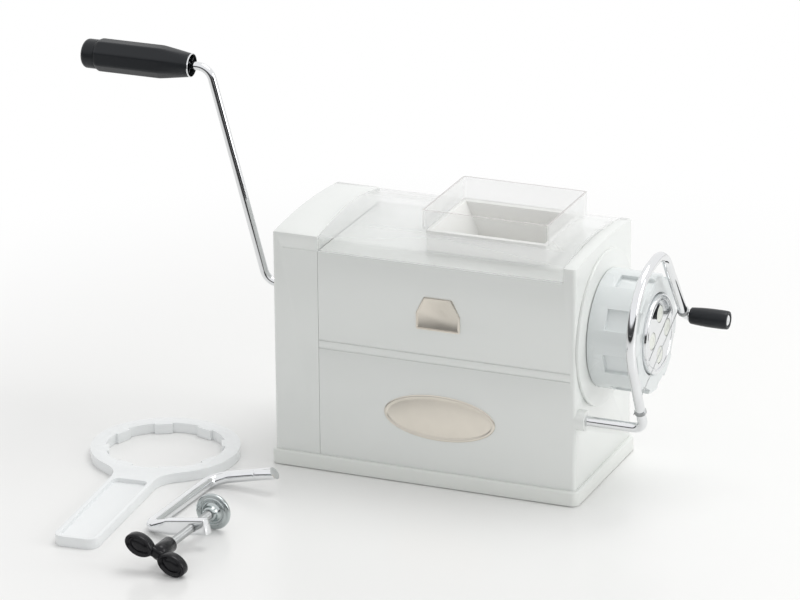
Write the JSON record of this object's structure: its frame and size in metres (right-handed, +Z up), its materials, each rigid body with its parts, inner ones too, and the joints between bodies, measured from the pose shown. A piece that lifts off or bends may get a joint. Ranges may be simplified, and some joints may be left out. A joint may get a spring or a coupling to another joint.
{
  "type": "pasta extruder with crank",
  "caption": "Hand cranked dough extruder: white casing on a base tray, clear lid with hopper collar, ring nut with die and cutter bow, bent crank, table clamp and ring wrench.",
  "frame": {"origin": "on the floor under the centre of the machine's casing", "axes": "+X from the crank end to the ring nut, +Y to the back, +Z up"},
  "size_m": [0.5504, 0.3842, 0.3239],
  "materials": {
    "white_plastic": "gloss moulded plastic",
    "clear_plastic": "clear moulded plastic",
    "nylon": "natural nylon",
    "chrome": "polished chrome plate",
    "steel": "turned steel",
    "zinc": "zinc plate",
    "black_plastic": "black moulded plastic",
    "pale_plastic": "bluish white moulded plastic",
    "rubber": "soft rubber"
  },
  "bodies": {
    "housing": {"base_plate": "white_plastic", "rubber_feet": "rubber", "housing_shell": "white_plastic", "gear_cover": "white_plastic", "feed_funnel": "white_plastic", "auger_barrel": "white_plastic"},
    "crank": {"crank_shaft": "steel", "crank_gear": "nylon", "auger": "nylon", "crank_arm": "chrome"},
    "grip": {"crank_grip": "black_plastic", "grip_cap": "black_plastic"},
    "roller": {"feed_roller": "nylon", "roller_shaft": "steel", "roller_gear": "nylon"},
    "lid": {"clear_lid": "clear_plastic"},
    "die": {"die_plate": "chrome", "die_cores": "nylon"},
    "nut": {"ring_nut": "white_plastic"},
    "cutter": {"cutter_rod": "chrome", "cutter_wire": "steel", "cutter_nut": "zinc"},
    "cutter_handle": {"cutter_grip": "black_plastic"},
    "clamp": {"clamp_rod": "chrome"},
    "pad": {"clamp_pad": "zinc"},
    "clamp_screw": {"clamp_screw": "steel", "clamp_wing": "black_plastic"},
    "wrench": {"ring_wrench": "pale_plastic"}
  },
  "joints": [
    {"name": "crank_turn", "type": "hinge", "parent": "housing", "child": "crank", "pos_m": [-0.1, 0, 0.1311], "axis": [1, 0, 0], "range_deg": [-125, 125]},
    {"name": "grip_spin", "type": "hinge", "parent": "crank", "child": "grip", "pos_m": [-0.27, 0, 0.311], "axis": [1, 0, 0], "continuous": true},
    {"name": "roller_turn", "type": "hinge", "parent": "housing", "child": "roller", "pos_m": [0.05, 0.02949, 0.15585], "axis": [1, 0, 0], "continuous": true},
    {"name": "lid_lift", "type": "slide", "parent": "housing", "child": "lid", "axis": [0, 0, 1], "range_m": [0, 0.06]},
    {"name": "die_slide", "type": "slide", "parent": "housing", "child": "die", "axis": [1, 0, 0], "range_m": [0, 0.002]},
    {"name": "nut_turn", "type": "hinge", "parent": "die", "child": "nut", "pos_m": [0.15, 0, 0.1311], "axis": [1, 0, 0], "range_deg": [0, 240]},
    {"name": "cutter_swing", "type": "hinge", "parent": "housing", "child": "cutter", "pos_m": [0.15, -0.0575, 0.072], "axis": [1, 0, 0], "range_deg": [-55, 80]},
    {"name": "cutter_grip_spin", "type": "hinge", "parent": "cutter", "child": "cutter_handle", "pos_m": [0.2, 0.0377, 0.1359], "axis": [1, 0, 0], "continuous": true},
    {"name": "clamp_lift", "type": "slide", "parent": "housing", "child": "clamp", "axis": [0, 0, 1], "range_m": [0, 0.1]},
    {"name": "pad_slide", "type": "slide", "parent": "clamp", "child": "pad", "axis": [0.0576, 0.9983, 0], "range_m": [-0.016, 0.028]},
    {"name": "clamp_turn", "type": "hinge", "parent": "pad", "child": "clamp_screw", "pos_m": [-0.12177, -0.23962, 0.01545], "axis": [0.0576, 0.9983, 0], "range_deg": [-2880, 5040]},
    {"name": "wrench_draw", "type": "slide", "parent": "housing", "child": "wrench", "axis": [-1, 0, 0], "range_m": [0, 0.17]}
  ],
  "couplings": [
    {"joint": "roller_turn", "follows": "crank_turn", "ratio": -1.5},
    {"joint": "die_slide", "follows": "nut_turn", "m_per_rad": 0.00047746},
    {"joint": "pad_slide", "follows": "clamp_turn", "m_per_rad": 0.00031831}
  ]
}
